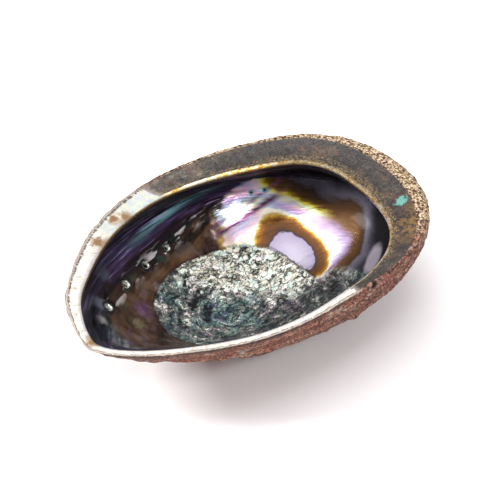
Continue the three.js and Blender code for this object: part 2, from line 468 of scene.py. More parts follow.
class Recipe:
    """Short words for adding nodes to one tree, in Geometry Nodes and in materials alike."""

    def __init__(self, tree):
        self.tree = tree

    def put(self, kind, values=None, **settings):
        """A new node: values go to its inputs, joined where they are fields, and settings to itself."""
        node = self.tree.nodes.new(kind)
        for name, value in settings.items():
            setattr(node, name, value)
        for name, value in (values or {}).items():
            if isinstance(value, Field):
                self.tree.links.new(value.socket, node.inputs[name])
            else:
                node.inputs[name].default_value = value
        return node

    def get(self, node, output=0):
        return Field(self, node.outputs[output])

    def calc(self, operation, *terms):
        return self.get(self.put("ShaderNodeMath", dict(enumerate(terms)), operation=operation))

    def attribute(self, name, vector=False):
        if self.tree.bl_idname == "GeometryNodeTree":
            kind = "FLOAT_VECTOR" if vector else "FLOAT"
            return self.get(self.put("GeometryNodeInputNamedAttribute", {"Name": name}, data_type=kind))
        node = self.put("ShaderNodeAttribute", attribute_name=name)
        return self.get(node, "Vector" if vector else "Fac")

    def plan_gap(self, x, y, heart, squash=1.0):
        """How far each place is from heart, seen from above, with x squashed by the given amount."""
        return self.calc("SQRT", ((x - heart[0]) * squash) ** 2.0 + (y - heart[1]) ** 2.0)

    def stretch(self, vector, x, y, z):
        return self.get(self.put("ShaderNodeVectorMath", {0: vector, 1: (x, y, z)}, operation="MULTIPLY"))

    def shift(self, vector, amount):
        return self.get(self.put("ShaderNodeVectorMath", {0: vector, 1: amount}, operation="ADD"))

    def scaled(self, vector, amount):
        return self.get(self.put("ShaderNodeVectorMath", {0: vector, 3: amount}, operation="SCALE"))

    def parts(self, vector):
        node = self.put("ShaderNodeSeparateXYZ", {0: vector})
        return [self.get(node, k) for k in range(3)]

    def noise(self, where, scale=1.0, detail=3.0, rough=0.55, output=0):
        node = self.put("ShaderNodeTexNoise", {"Vector": where, "Scale": scale, "Detail": detail,
                                               "Roughness": rough})
        return self.get(node, output)

    def sway(self, *where_and_how):
        """Noise that swings either side of zero."""
        return self.noise(*where_and_how) - 0.5

    def cells(self, where, scale=1.0, feature="F1", output=0):
        node = self.put("ShaderNodeTexVoronoi", {"Vector": where, "Scale": scale}, feature=feature)
        return self.get(node, output)

    def ease(self, value, low, high):
        """0 below low and 1 above high, with a smooth step between them."""
        node = self.put("ShaderNodeMapRange", {0: value, 1: low, 2: high},
                        interpolation_type="SMOOTHSTEP")
        return self.get(node)

    def fade(self, value, low, high):
        """1 below low and 0 above high."""
        return 1.0 - self.ease(value, low, high)

    def bump(self, value, centre, half):
        """1 at the centre, falling smoothly to 0 at half either side of it."""
        away = self.calc("ABSOLUTE", value - centre)
        return self.fade(away, 0.0, half)


def flaked(recipe, at):
    """The flakes of the muscle scar: a number for each flake, and how near its broken edge is."""
    drift = recipe.scaled(recipe.noise(at, 0.13, 2, 0.5, 1), 9.0)
    bent = recipe.shift(at, drift)
    level = recipe.noise(recipe.stretch(bent, 0.085, 0.15, 0.12), 1.0, 3, 0.55) * 7.0
    within = recipe.calc("FRACT", level)
    step = recipe.fade(recipe.calc("MINIMUM", within, 1.0 - within), 0.03, 0.1)
    jitter = recipe.scaled(recipe.noise(at, 0.7, 2, 0.6, 1), 2.2)
    chip_at = recipe.stretch(recipe.shift(at, jitter), 0.3, 0.56, 0.4)
    number = recipe.parts(recipe.cells(chip_at, 1.0, output="Color"))[0]
    crack = recipe.fade(recipe.cells(chip_at, 1.0, "DISTANCE_TO_EDGE"), 0.02, 0.08)
    some = recipe.ease(recipe.noise(at, 0.2, 2, 0.6), 0.38, 0.52)
    return number, recipe.calc("MAXIMUM", step, crack * some)


def millimetres(recipe):
    """Places in the material's own object space, in millimetres."""
    return recipe.stretch(recipe.get(recipe.put("ShaderNodeTexCoord"), "Object"), 1000, 1000, 1000)


relief = bpy.data.node_groups.new("shell_relief", "GeometryNodeTree")
face = relief.interface
face.new_socket("Geometry", in_out="INPUT", socket_type="NodeSocketGeometry")
for name in HEIGHTS:
    face.new_socket(name, in_out="INPUT", socket_type="NodeSocketFloat")
face.new_socket("Seed", in_out="INPUT", socket_type="NodeSocketFloat")
for name in ("Crust", "Chalk", "Inner lip", "Nacre"):
    face.new_socket(name, in_out="INPUT", socket_type="NodeSocketMaterial")
face.new_socket("Geometry", in_out="OUTPUT", socket_type="NodeSocketGeometry")
form = Recipe(relief)
given = form.put("NodeGroupInput")
amount = {name: form.get(given, name) for name in HEIGHTS}
seed = form.get(given, "Seed")
seed_shift = form.get(form.put("ShaderNodeCombineXYZ", {0: seed, 1: seed}))
plain_at = form.stretch(form.get(form.put("GeometryNodeInputPosition")), 1000, 1000, 1000)
at = form.shift(plain_at, seed_shift)
z = form.parts(at)[2]
zone_at, run_at, age_at = (form.attribute(name) for name in ("zone", "run", "age"))
scar_at, gap_at = form.attribute("scar_ring"), form.attribute("pore_gap")
growth_at = form.attribute("growth", vector=True)
around_at = form.attribute("around", vector=True)

# The back: 0 at the spire, where it is worn smooth, to 1 on the younger shell.
young = form.ease(age_at, -2.4, -0.9)
growth_lines = form.sway(form.stretch(growth_at, 1.2, 1.2, 26), 1, 3, 0.6)
growth_lines = growth_lines * amount["Growth line height"] * 3
ribs = form.sway(form.stretch(growth_at, 11, 11, 1.6), 1, 2, 0.5) * amount["Spiral rib height"] * 2.6
crust = (form.noise(at, 0.3, 3, 0.65) - 0.45) * amount["Crust height"] * 2
lumpy = form.ease(form.noise(at, 0.045, 2, 0.5), 0.5, 0.62)
lumps = form.fade(form.cells(at, 0.16), 0.05, 0.75) * lumpy * amount["Lump height"]
lumps = lumps * form.fade(run_at, 0.88, 0.95)
collar = form.bump(gap_at, 1.35, 1.1) * amount["Pore collar height"]
knobs = form.attribute("knob") * amount["Knob height"]
ragged = (form.noise(at, 0.5, 2, 0.6) - 0.35) * amount["Crest raggedness"] * form.ease(run_at, 0.96, 1.05)
pit_at = form.attribute("pit_gap")
pit = form.bump(pit_at, 2.0, 1.3) * 0.45 - form.bump(pit_at, 0.0, 1.5)
off_table = form.ease(z, 0.3, 3.0)
crest = 1.0 - form.ease(run_at, 1.0, 1.1) * 0.6
back = ((growth_lines + ribs) * young + crust + lumps) * crest * off_table
back = back + (collar + knobs) * off_table + ragged + pit * amount["Pit depth"]

# The bowl: flakes inside the muscle scar, soft ripples and knuckles outside it.
in_scar = form.fade(scar_at + form.sway(at, 0.22, 3, 0.6) * 0.12, 0.96, 1.02)
number, broken = flaked(form, plain_at)
flakes = number - 0.5 - broken * 0.6 + form.sway(at, 0.6, 3, 0.6)
flakes = flakes * amount["Scar flake height"]
swell = form.sway(at, 0.09, 2, 0.5) * amount["Scar swell"] * 2
ripples = form.sway(form.stretch(growth_at, 9, 9, 3), 1, 2, 0.5) * amount["Nacre ripple height"] * 1.8
ripples = ripples * form.ease(age_at, -1.5, -0.8)
by_row = form.bump(form.attribute("row"), 0.0, 7.0) * form.ease(age_at, -0.95, -0.8)
dimples = form.sway(form.stretch(growth_at, 8, 8, 15), 1, 2, 0.5) * by_row
dimples = dimples * amount["Nacre ripple height"] * 4
soft_swell = form.sway(at, 0.06, 2, 0.5) * amount["Nacre ripple height"] * 2
by_floor = form.bump(form.attribute("row"), 11.0, 13.0) * form.ease(age_at, -1.0, -0.8)
knuckles = form.sway(at, 0.14, 2, 0.5) * by_floor * amount["Nacre ripple height"] * 6
pore_lip = form.bump(gap_at, 1.9, 1.2) * amount["Pore lip height"]
bowl = (flakes + swell) * in_scar + (ripples + soft_swell + dimples + knuckles) * (1.0 - in_scar) + pore_lip
bowl = bowl * form.fade(run_at, 0.9, 1.0)

# The lip: gentle waves along it, fading out at both of its edges.
waves = form.sway(form.stretch(around_at, 14, 14, 1.5), 1, 3, 0.6) * amount["Lip wave height"] * 2
grit = form.sway(at, 0.7, 2, 0.6) * 0.25
lip = (waves + grit) * form.bump(run_at, 0.5, 0.56)

on_back = form.fade(zone_at, 0.3, 0.7)
on_bowl = form.ease(zone_at, 1.3, 1.7)
total = back * on_back + bowl * on_bowl + lip * (1.0 - on_back - on_bowl)
normal_at = form.get(form.put("GeometryNodeInputNormal"))
push = form.scaled(normal_at, total * MM)
shaped = form.put("GeometryNodeSetPosition", {"Geometry": form.get(given, "Geometry"), "Offset": push})
shaped = form.get(form.put("GeometryNodeRealizeInstances", {0: form.get(shaped)}))
pale_at = form.attribute("pale_lip") + form.sway(at, 0.25, 2, 0.6) * 0.35
is_lip = form.get(form.put("FunctionNodeCompare", {0: zone_at, 1: 0.5}, operation="GREATER_THAN"))
is_nacre = form.get(form.put("FunctionNodeCompare", {0: zone_at, 1: 1.5}, operation="GREATER_THAN"))
is_chalk = form.get(form.put("FunctionNodeCompare", {0: pale_at + on_bowl * -9.0 - on_back * 9.0, 1: 0.5},
                             operation="GREATER_THAN"))
for name, chosen in (("Crust", True), ("Inner lip", is_lip), ("Nacre", is_nacre), ("Chalk", is_chalk)):
    values = {"Geometry": shaped, "Selection": chosen, "Material": form.get(given, name)}
    shaped = form.get(form.put("GeometryNodeSetMaterial", values))
form.put("NodeGroupOutput", {0: shaped})


# ---------------------------------------------------------------------------------------------
# The nacre. Mother-of-pearl laid over the whole inside: white, pink and green on the dome beside
# the scar, ringed by gold and brown, and running out to dark purple and brown streaks along the
# growing edge; these dark tones are partly painted reflection of dark surroundings. The muscle
# scar is duller: cream flakes above, painted as lit, blue-green below in painted shade, cracked in black.
def paint(red, green, blue):
    """A colour given as red, green and blue from 0 to 255, as the linear colour of a shader."""
    channels = (c / 255 for c in (red, green, blue))
    return (*(c / 12.92 if c <= 0.04045 else ((c + 0.055) / 1.055) ** 2.4 for c in channels), 1.0)


def tint(recipe, share, under, over, mode="MIX"):
    """The colour under with a share of the colour over it: each is a field or a mixed colour."""
    under, over = (paint(*c) if isinstance(c, tuple) else c for c in (under, over))
    node = recipe.put("ShaderNodeMix", {0: share, 6: under, 7: over}, data_type="RGBA", blend_type=mode)
    return recipe.get(node, 2)


def bands(recipe, value, span, *stops):
    """A colour for each value from 0 to span, through the stops given as (value, colour)."""
    node = recipe.put("ShaderNodeValToRGB", {0: value * (1 / span)})
    elements = node.color_ramp.elements
    for element in list(elements)[1:]:
        elements.remove(element)
    elements[0].position = stops[0][0] / span
    elements[0].color = paint(*stops[0][1])
    for place, colour in stops[1:]:
        elements.new(place / span).color = paint(*colour)
    return recipe.get(node)


def new_group(name, inputs, outputs):
    """An empty shader group with number inputs and the named outputs, and its given values."""
    tree = bpy.data.node_groups.new(name, "ShaderNodeTree")
    for label, value in inputs.items():
        tree.interface.new_socket(label, in_out="INPUT", socket_type="NodeSocketFloat").default_value = value
    for label, kind in outputs.items():
        tree.interface.new_socket(label, in_out="OUTPUT", socket_type="NodeSocket" + kind)
    recipe = Recipe(tree)
    source = recipe.put("NodeGroupInput")
    return recipe, [recipe.get(source, label) for label in inputs]


def new_finish(name, **plain):
    """A material with its plain values, the recipe for its nodes, and its shader."""
    material = bpy.data.materials.new(name)
    material.use_nodes = True
    shader = material.node_tree.nodes["Principled BSDF"]
    for label, value in plain.items():
        shader.inputs[label.replace("_", " ")].default_value = value
    return material, Recipe(material.node_tree), shader


def connect(recipe, shader, bumps, depth, **values):
    """Joins the finished values to the shader, with the bumps depth mm deep."""
    bump = recipe.put("ShaderNodeBump", {"Height": bumps, "Distance": depth * MM})
    for label, value in values.items():
        recipe.tree.links.new(value.socket, shader.inputs[label.replace("_", " ")])
    recipe.tree.links.new(bump.outputs[0], shader.inputs["Normal"])


# Pearl: the play of colour over mother-of-pearl, by a phase that turns through it.
mix, (phase, strength) = new_group("pearl", {"Phase": 0.5, "Strength": 1.0}, {"Colour": "Color"})
play = bands(mix, mix.calc("FRACT", phase), 1.0, (0.0, (170, 232, 214)), (0.14, (96, 190, 196)),
             (0.28, (120, 150, 214)), (0.42, (190, 150, 214)), (0.56, (242, 168, 206)),
             (0.7, (252, 214, 196)), (0.84, (236, 240, 170)), (1.0, (170, 232, 214)))
mix.put("NodeGroupOutput", {0: tint(mix, strength, (246, 244, 242), play)})
pearl_group = mix.tree

# Growth streaks: fine and broad streaks along the old growing edges.
mix, (reach, fineness) = new_group("growth_streaks", {"Reach": 4.0, "Fineness": 40.0},
                                   {"Broad": "Float", "Fine": "Float"})
gx, gy, gz = mix.parts(mix.attribute("growth", vector=True))
coarse = mix.get(mix.put("ShaderNodeCombineXYZ", {0: gx * reach, 1: gy * reach, 2: gz * fineness}))
streaks = mix.noise(coarse, 1, 3, 0.6)
mix.put("NodeGroupOutput", {0: streaks, 1: mix.noise(coarse, 3.1, 3, 0.65)})
streak_group = mix.tree

# Grit: fine sandy grains with dark pits between them.
mix, (size,) = new_group("grit", {"Size": 1.0}, {"Grain": "Float", "Pits": "Float", "Mottle": "Float"})
at_mm = millimetres(mix)
grain = mix.cells(at_mm, mix.calc("DIVIDE", 1.0, size))
pits = mix.ease(mix.noise(at_mm, mix.calc("DIVIDE", 0.8, size), 3, 0.7), 0.56, 0.66)
mottle = mix.noise(at_mm, mix.calc("DIVIDE", 0.35, size), 4, 0.65)
mix.put("NodeGroupOutput", {0: 1.0 - grain, 1: pits, 2: mottle})
grit_group = mix.tree

nacre, mix, shader = new_finish("nacre", Coat_Weight=0.1, Coat_Roughness=0.16, Specular_IOR_Level=0.35)
at_mm = millimetres(mix)
x, y, z = mix.parts(at_mm)
warp = mix.sway(at_mm, 0.1, 3, 0.6)
streaks = mix.put("ShaderNodeGroup", {"Reach": 8.0, "Fineness": 2.4}, node_tree=streak_group)
broad, fine = mix.get(streaks, 0), mix.get(streaks, 1)
scar_at, gap_at, run_at = mix.attribute("scar_ring"), mix.attribute("pore_gap"), mix.attribute("run")
row_at, age_at = mix.attribute("row"), mix.attribute("age")

# The dome: a lilac patch under a brown arch, and rings of white, gold and brown beyond it.
ARCH = dict(heart=(36.0, 6.0), half_wide=12.5, half_high=19.0, half_low=14.5)
RING_HEART = (28.0, 6.0)
arch_x = (x - ARCH["heart"][0]) * (1 / ARCH["half_wide"])
above, below = 1 / ARCH["half_high"], 1 / ARCH["half_low"]
arch_y = y - ARCH["heart"][1]
arch_y = arch_y * (above + mix.ease(0.0 - arch_y, -2.0, 6.0) * (below - above))
arch_at = mix.plan_gap(arch_x, arch_y, (0, 0)) * 20.0 + warp * 6.0 + (fine - 0.5) * 2.0
arch = bands(mix, arch_at, 40, (4, (140, 134, 148)), (12.2, (120, 112, 132)), (12.9, (34, 26, 30)),
             (13.8, (62, 36, 12)), (17.4, (84, 50, 14)), (19.2, (128, 80, 22)), (20.3, (180, 146, 58)),
             (21.4, (242, 236, 204)), (23, (250, 248, 246)))
rings_at = mix.calc("MAXIMUM", mix.plan_gap(x, y, RING_HEART), 17.6 - y * 0.9)
rings_at = rings_at + warp * 4.5 + (fine - 0.5) * 1.8
wider_left = mix.fade(x, 36, 48) * mix.ease(y, 20, 30) * 6.0
wider_right = mix.fade(y, -8, 14) * 4.0 - mix.ease(0.0 - y, 6, 18) * 7.0
rings_at = rings_at - wider_left - wider_right
# The outer rings end in a grey cloud of painted soft reflection, then painted shade to near black in the
# hollow under the lip.
rings = bands(mix, rings_at, 60, (20, (252, 250, 248)), (24.6, (228, 210, 234)), (26, (240, 246, 242)),
              (27.4, (206, 226, 176)), (28.4, (196, 178, 44)), (29.2, (116, 90, 12)),
              (30.2, (68, 42, 10)), (32, (40, 26, 12)), (33.2, (74, 70, 82)), (35.4, (104, 102, 118)),
              (38, (52, 50, 62)), (41, (12, 10, 16)))
on_rings = mix.ease(arch_at, 21.4, 23.0)
rings = tint(mix, on_rings, arch, rings)
milky = on_rings * mix.fade(rings_at, 26.5, 28.0)
pearl = mix.put("ShaderNodeGroup", {"Phase": rings_at * 0.09 + broad * 2.2, "Strength": 0.85},
                node_tree=pearl_group)
rings = tint(mix, milky * 0.65, rings, tint(mix, 1.0, rings, mix.get(pearl), "MULTIPLY"))
lilac = mix.fade(y + x * 0.2, 2, 22) * milky
rings = tint(mix, lilac * 0.75, rings, (160, 138, 176))
right_side = mix.fade(y, 3, 17)
# The right-hand rings end the same way: a painted grey reflection, then painted shade to near black.
right_rings = bands(mix, rings_at, 60, (19, (226, 220, 230)), (23, (166, 148, 180)),
                    (26, (126, 104, 122)), (28, (96, 70, 42)), (31, (70, 43, 16)), (34.5, (52, 34, 20)),
                    (36, (88, 84, 96)), (39, (46, 44, 54)), (42, (12, 10, 16)))
rings = tint(mix, right_side * on_rings, rings, right_rings)
# Painted soft reflection: a pale grey oval on the near right of the bowl.
GREY_PATCH = dict(heart=(50.0, -24.0), lean=math.radians(23.9), squash=0.374)
patch_x, patch_y = x - GREY_PATCH["heart"][0], y - GREY_PATCH["heart"][1]
lean_x, lean_y = math.cos(GREY_PATCH["lean"]), math.sin(GREY_PATCH["lean"])
patch = mix.plan_gap(patch_x * lean_x + patch_y * lean_y, patch_y * lean_x - patch_x * lean_y, (0, 0),
                     GREY_PATCH["squash"]) + warp * 2
rings = tint(mix, mix.fade(patch, 1.8, 3.4) * 0.95, rings, (142, 134, 146))

# The rest of the wall: streaks that follow the row of pores, from the lip down to the floor, with
# a teal streak above the row, painted pale glints and green stains along it, and brown clouds below it.
row_bent = row_at + (broad - 0.5) * 16 + (fine - 0.5) * 9 + 40.0
wall = bands(mix, row_bent, 100, (14, (20, 16, 24)), (24, (34, 26, 42)), (28, (60, 48, 84)),
             (31, (44, 38, 60)), (33.5, (92, 74, 120)), (35.5, (66, 44, 70)), (37.5, (40, 26, 34)),
             (40, (26, 20, 22)), (42.5, (64, 44, 34)), (45, (116, 86, 58)), (48, (90, 66, 50)),
             (51, (104, 78, 74)), (55, (72, 54, 40)), (62, (92, 72, 48)), (70, (60, 48, 36)),
             (84, (76, 64, 42)))
threads = mix.noise(mix.stretch(mix.attribute("growth", vector=True), 52, 52, 5), 1.0, 3, 0.6)
thread_tone = bands(mix, threads, 1.0, (0.36, (70, 62, 84)), (0.5, (190, 184, 200)), (0.6, (255, 255, 255)))
upper = mix.fade(row_at, -6.0, -1.0)
wall = tint(mix, 0.35 + upper * 0.4, wall, tint(mix, 1.0, wall, thread_tone, "MULTIPLY"))
pale_thread = mix.ease(threads, 0.58, 0.66) * upper
wall = tint(mix, pale_thread * 0.8, wall, (156, 144, 196))
teal = mix.bump(row_at - age_at * 10.0 + 5.3 + (threads - 0.5) * 10, 0.0, 3.4) * mix.bump(age_at, -0.54, 0.28)
wall = tint(mix, teal, wall, bands(mix, threads, 1.0, (0.38, (52, 106, 124)), (0.5, (120, 190, 184)),
                                   (0.62, (170, 180, 216))))
dashes = mix.noise(mix.stretch(mix.attribute("growth", vector=True), 34, 34, 14), 1.0, 2, 0.5)
# Painted highlights: pale glints in dashes along the row of pores.
painted_glint = mix.bump(row_at, 0.0, 3.6) * mix.ease(dashes, 0.56, 0.62) * mix.ease(age_at, -0.95, -0.8)
green = mix.bump(row_at, 1.8, 4.0) * mix.ease(mix.noise(at_mm, 0.17, 2, 0.5), 0.5, 0.7)
wall = tint(mix, green * 0.5, wall, (34, 96, 88))
wall = tint(mix, painted_glint * 0.9, wall, (222, 214, 214))
clouds = mix.noise(at_mm, 0.1, 3, 0.5)
wall = tint(mix, mix.ease(clouds, 0.52, 0.6) * mix.bump(row_at, 9.0, 12.0) * 0.55, wall, (124, 108, 104))
wall = tint(mix, mix.fade(clouds, 0.38, 0.5) * mix.ease(row_at, -2.0, 3.0) * 0.6, wall, (44, 34, 28))
amber = mix.bump(row_at, 7.0, 9.0) * mix.ease(mix.noise(at_mm, 0.11, 2, 0.5), 0.55, 0.68)
wall = tint(mix, amber * 0.35, wall, (134, 100, 56))
# Painted reflection: dark grey-blue with pale flecks at the far left end of the wall, under the rim.
far_left = mix.fade(x, -66, -56) * mix.ease(z, 22, 30)
wall = tint(mix, far_left * 0.85, wall, bands(mix, fine, 1.0, (0.35, (34, 46, 56)), (0.5, (96, 112, 124)),
                                              (0.65, (186, 194, 196))))
# Spots of colour on the wall: the two grey-blue ones are painted reflections and the white one by the pores a
# painted glint; the others are pale grey, mauve and olive spots.
SHEENS_AND_SPOTS = [((-46.0, 34.0), 6.0, (112, 122, 138)), ((-56.3, 20.4), 4.5, (120, 130, 146)),
          ((-24.9, 22.0), 3.6, (156, 146, 148)), ((-39.5, 15.5), 5.5, (122, 88, 122)),
          ((-47.5, 9.5), 4.0, (132, 122, 92)), ((-62.0, 13.5), 3.0, (206, 204, 206))]
for heart, reach, colour in SHEENS_AND_SPOTS:
    sheen_and_spot_gap = mix.plan_gap(x, y, heart) + warp * 5 + (threads - 0.5) * 5
    wall = tint(mix, mix.fade(sheen_and_spot_gap, reach * 0.3, reach) * 0.8, wall, colour)

# The dome meets the wall along one old edge, with a gold fringe beside the scar. Under the lip
# all is painted dark as shade and dark reflection, and a magenta streak crosses the dome.
DOME_EDGE = dict(age=-0.885, half=0.025)
dome_age = age_at + warp * 0.08 + (threads - 0.5) * 0.12
on_dome = mix.fade(dome_age, DOME_EDGE["age"] - DOME_EDGE["half"], DOME_EDGE["age"] + DOME_EDGE["half"])
base = tint(mix, on_dome, wall, rings)
gold_fringe = mix.bump(dome_age, DOME_EDGE["age"], 0.035)
gold_fringe = gold_fringe * mix.ease(row_at, 6.0, 10.0) * mix.ease(y, 14.0, 22.0)
base = tint(mix, gold_fringe * 0.85, base, (190, 152, 52))
# Painted shade and dark reflection under the lip.
painted_shade_under_lip = mix.ease(z + warp * 3, 30.5, 36.0)
base = tint(mix, painted_shade_under_lip * 0.92, base, bands(mix, fine, 1.0, (0.35, (14, 12, 18)), (0.52, (40, 32, 50)),
                                               (0.66, (66, 58, 92))))
STREAK = dict(start=17.0, top=32.0, bend=0.0062)  # from above, y = top - bend * (x - start)^2
veer = y + (x - STREAK["start"]) ** 2.0 * STREAK["bend"] - STREAK["top"] + (threads - 0.5) * 1.2
magenta = mix.calc("MAXIMUM", mix.bump(veer, -0.4, 1.7), mix.bump(veer, 2.3, 0.9) * 0.7)
magenta = magenta * mix.ease(x, 14, 19) * mix.fade(x, 44, 52)
base = tint(mix, magenta, base, bands(mix, threads, 1.0, (0.4, (70, 32, 66)), (0.56, (136, 82, 128))))

# The filled pores on the dome, the open pores' rims, and the wall behind the thin outer lip.
old_at = mix.attribute("old_pore")
old_at = old_at + (threads - 0.5) * 1.1 * mix.ease(old_at, 0.02, 0.2)
base = tint(mix, mix.ease(old_at, 0.03, 0.3) * 0.7, base, (88, 170, 160))
base = tint(mix, mix.ease(old_at, 0.42, 0.7) * 0.9, base, (24, 34, 50))
pore_tone = bands(mix, gap_at, 4.0, (0.0, (220, 216, 208)), (1.1, (196, 200, 190)), (1.3, (60, 60, 58)),
                  (1.6, (24, 34, 34)), (2.4, (36, 26, 28)))
base = tint(mix, mix.fade(gap_at + (fine - 0.5) * 2, 1.5, 2.5) * 0.9, base, pore_tone)
front = mix.ease(0.0 - y + warp * 6, 12.0, 22.0) * mix.ease(run_at, 0.36, 0.5) * mix.fade(x, 24, 42)
edgewise = mix.noise(mix.stretch(mix.attribute("growth", vector=True), 1.6, 1.6, 15), 1.0, 2, 0.5)
base = tint(mix, front * 0.92, base, bands(mix, edgewise * 0.8 + threads * 0.2, 1.0, (0.3, (26, 22, 30)),
                                           (0.42, (84, 62, 66)), (0.49, (118, 98, 86)),
                                           (0.55, (74, 84, 102)), (0.62, (140, 136, 152)),
                                           (0.7, (106, 78, 108))))

# The scar: broken flakes of shell, cream where painted as lit and blue-green in painted shade below.
in_scar = mix.fade(scar_at + mix.sway(at_mm, 0.22, 3, 0.6) * 0.12, 0.97, 1.0)
near_wall = mix.ease(36.5 - y * 0.3 - x + warp * 10, -3.0, 3.0) * mix.ease(0.0 - y + warp * 10, 8.0, 15.0)
near_wall = near_wall * mix.ease(x, -44.0, -30.0) * mix.fade(run_at + warp * 0.2, 0.42, 0.52)
in_scar = mix.calc("MAXIMUM", in_scar, near_wall)
flake, broken = flaked(mix, at_mm)
chips = mix.sway(mix.stretch(at_mm, 0.45, 0.9, 0.6), 1.0, 4, 0.7) * 1.6 + 0.5
tone = flake * 0.55 + chips * 0.45
bright = bands(mix, tone, 1.0, (0.18, (34, 38, 36)), (0.28, (120, 122, 110)), (0.37, (222, 220, 202)),
               (0.56, (252, 250, 240)), (0.68, (184, 214, 202)), (0.74, (248, 242, 238)))
swirl_at = mix.get(mix.put("ShaderNodeCombineXYZ", {0: x * 0.11, 1: y * 0.11, 2: scar_at * 13.0 + warp * 5}))
swirl = mix.sway(swirl_at, 1.0, 4, 0.6) * 1.8 + 0.5
dim = bands(mix, swirl * 0.72 + chips * 0.2 + flake * 0.08, 1.0, (0.34, (10, 12, 16)),
            (0.4, (92, 98, 102)), (0.44, (34, 44, 68)), (0.48, (150, 156, 150)), (0.52, (44, 84, 82)),
            (0.56, (204, 204, 194)), (0.6, (62, 66, 84)), (0.67, (238, 236, 228)))
SCAR_HEART = (6.0, 3.0)
heart_gap = mix.plan_gap(x, y, SCAR_HEART, 0.7) + warp * 8
blush = mix.fade(heart_gap, 2.0, 9.0) * mix.ease(chips, 0.3, 0.7)
dim = tint(mix, blush * 0.75, dim, bands(mix, swirl, 1.0, (0.4, (34, 90, 84)), (0.46, (120, 164, 150)),
                                         (0.5, (204, 164, 170)), (0.56, (116, 96, 112)),
                                         (0.62, (222, 212, 206))))
hue = mix.noise(at_mm, 0.085, 3, 0.6)
overlay = bands(mix, hue, 1.0, (0.38, (84, 110, 150)), (0.45, (110, 176, 164)), (0.5, (128, 128, 126)),
                (0.56, (120, 140, 132)), (0.62, (190, 150, 170)))
dim = tint(mix, 0.6, dim, overlay, "OVERLAY")
# Painted shade: the flakes on the near wall are darkened.
dim = tint(mix, near_wall * 0.55, dim, (34, 33, 36))
# Painted light: flakes above a line across the scar take the cream lit colours, those below the shaded
# blue-green ones.
lit = mix.ease(x * 0.62 + y * 0.83 + warp * 24 + (flake - 0.5) * 8, 4, 15) * (1.0 - near_wall)
scar_tone = tint(mix, lit, dim, bright)
scar_tone = tint(mix, broken * (0.85 + lit * 0.1), scar_tone, (6, 8, 9))
base = tint(mix, in_scar, base, scar_tone)
rim_line = mix.bump(scar_at + warp * 0.1, 1.0, 0.03)
base = tint(mix, rim_line * 0.5, base, (30, 24, 22))
gold_edge = mix.ease(run_at, 0.965, 0.995) * mix.ease(y, 10, 30)
base = tint(mix, gold_edge * 0.8, base, (190, 150, 70))
shine = 0.72 - in_scar * 0.4
hollow = mix.ease(rings_at, 29.0, 33.0) * on_dome * (1.0 - in_scar)
rough = 0.2 + fine * 0.08 + in_scar * (0.14 + chips * 0.1) + hollow * 0.36
bumps = chips * in_scar * 1.2 - broken * in_scar * 0.5 + fine * 0.25 * (1.0 - in_scar)
connect(mix, shader, bumps, 0.6, Base_Color=base, Roughness=rough, Metallic=shine)


# ---------------------------------------------------------------------------------------------
# The inner lip. A flat shelf of dark horny shell that turns in over the bowl. It is grey-brown
# with faint streaks, grainy and brown towards its inner edge, and that edge is a bright gold line.
inner_lip, mix, shader = new_finish("inner_lip", Coat_Weight=0.2, Coat_Roughness=0.25)
at_mm = millimetres(mix)
x, y, _ = mix.parts(at_mm)
run_at, pale_at = mix.attribute("run"), mix.attribute("pale_lip")
grit = mix.put("ShaderNodeGroup", {"Size": 0.8}, node_tree=grit_group)
grain, pits, mottle = (mix.get(grit, k) for k in range(3))
along = mix.stretch(mix.attribute("around", vector=True), 7, 7, 3)
streak = mix.noise(along, 1.0, 4, 0.65)
base = bands(mix, streak * 0.6 + mottle * 0.4, 1.0, (0.34, (22, 19, 18)), (0.45, (44, 39, 36)),
             (0.53, (72, 66, 58)), (0.62, (124, 116, 102)))
base = tint(mix, mix.ease(mix.noise(at_mm, 0.07, 3, 0.6), 0.45, 0.56) * 0.8, base, (38, 30, 25))
base = tint(mix, mix.ease(mix.noise(at_mm, 0.055, 4, 0.65), 0.54, 0.64) * 0.7, base, (112, 110, 94))
# Painted highlight lines: pale fine lines along the lip, with dark fine lines between them.
fine_lines = mix.noise(mix.stretch(mix.attribute("around", vector=True), 40, 40, 14), 1.0, 3, 0.7)
base = tint(mix, mix.ease(fine_lines, 0.58, 0.68) * 0.5, base, (140, 128, 110))
base = tint(mix, mix.fade(fine_lines, 0.34, 0.42) * 0.5, base, (22, 19, 18))
base = tint(mix, mix.ease(x + mottle * 20, 16, 54) * 0.8, base, (36, 30, 28))
rust = mix.ease(mix.noise(at_mm, 0.11, 3, 0.6), 0.5, 0.6)
base = tint(mix, rust * 0.55, base, (82, 56, 36))
margin = mix.ease(run_at + (mottle - 0.5) * 0.5 + mix.ease(x, 10, 45) * 0.12, 0.72, 0.86)
base = tint(mix, margin * 0.9, base, bands(mix, grain, 1.0, (0.2, (38, 29, 22)), (0.6, (84, 68, 48)),
                                           (0.9, (150, 130, 96))))
specks = mix.ease(mix.noise(at_mm, 0.9, 4, 0.7), 0.6, 0.68)
base = tint(mix, specks * (0.25 + margin * 0.5), base, (196, 178, 140))
amber = mix.ease(x, 36, 50) * mix.ease(0.0 - y, 30, 42) * mix.ease(mottle, 0.42, 0.56)
base = tint(mix, amber * 0.65, base, (134, 98, 40))
base = tint(mix, pits * 0.6, base, (34, 28, 26))
far_side = mix.ease(y, 10, 30) * mix.fade(x, 34, 52)
edge_tone = bands(mix, mottle + mix.bump(x, 16.0, 18.0) * 0.14, 1.0, (0.4, (196, 138, 34)),
                  (0.5, (246, 206, 100)), (0.6, (252, 244, 218)))
edge = mix.ease(run_at + (mottle - 0.5) * 0.08, 0.87, 0.93) * (0.2 + far_side * 0.8)
base = tint(mix, edge, base, edge_tone)
outer_line = mix.fade(run_at, 0.0, 0.1)
